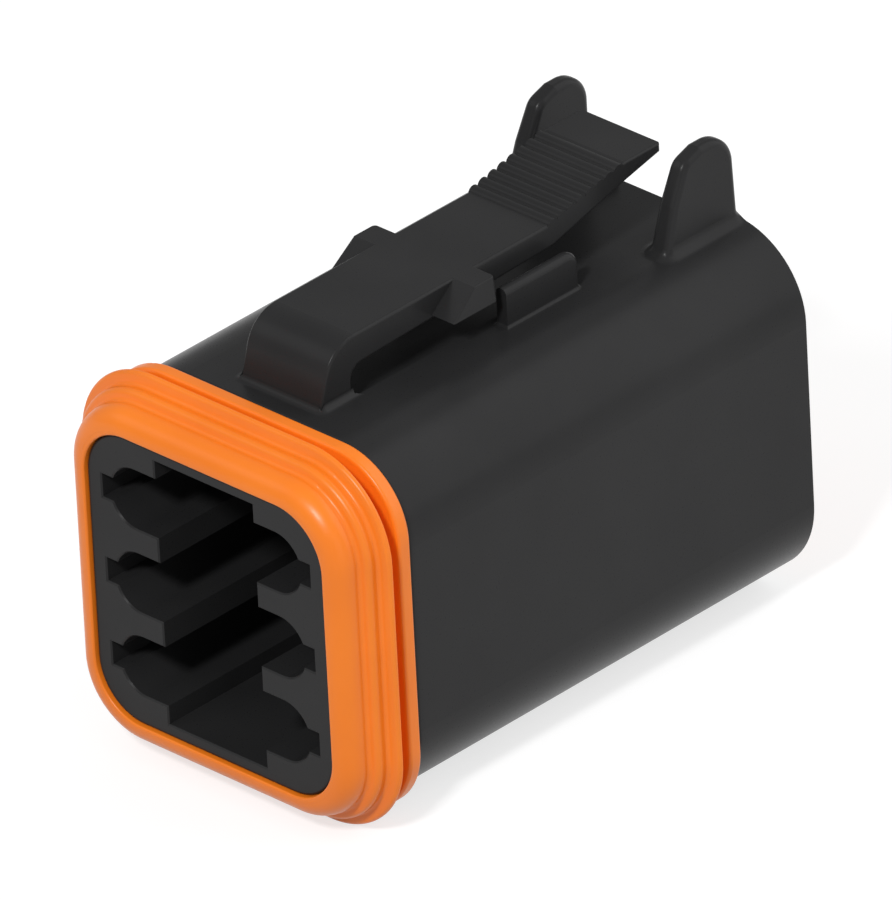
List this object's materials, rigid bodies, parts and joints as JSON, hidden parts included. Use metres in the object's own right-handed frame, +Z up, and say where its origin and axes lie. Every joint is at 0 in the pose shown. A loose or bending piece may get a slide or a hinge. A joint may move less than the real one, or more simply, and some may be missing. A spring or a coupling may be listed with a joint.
{
  "type": "sealed automotive connector plug",
  "caption": "Rectangular sealed plug housing with open contact cavities, a ribbed soft seal round its nose, a wire seal at the rear and a sprung locking latch on top.",
  "frame": {"origin": "middle of the nose face, between the contact columns and on the middle row", "axes": "-Y is the mating direction, +Y the way the wires leave, +Z up towards the latch, +X to the right seen from the front"},
  "size_m": [0.0274, 0.0433, 0.0333],
  "materials": {
    "black_plastic": "fine satin moulded thermoplastic",
    "orange_silicone": "smooth satin silicone rubber"
  },
  "bodies": {
    "housing": {"housing": "black_plastic", "front_seal": "orange_silicone", "wire_seal": "orange_silicone"},
    "latch": {"latch_arm": "black_plastic"}
  },
  "joints": [
    {"name": "latch_press", "type": "hinge", "parent": "housing", "child": "latch", "pos_m": [0, 0.00895, 0.0129], "axis": [-1, 0, 0], "range_deg": [0, 6], "stiffness_Nm_per_rad": 4}
  ]
}
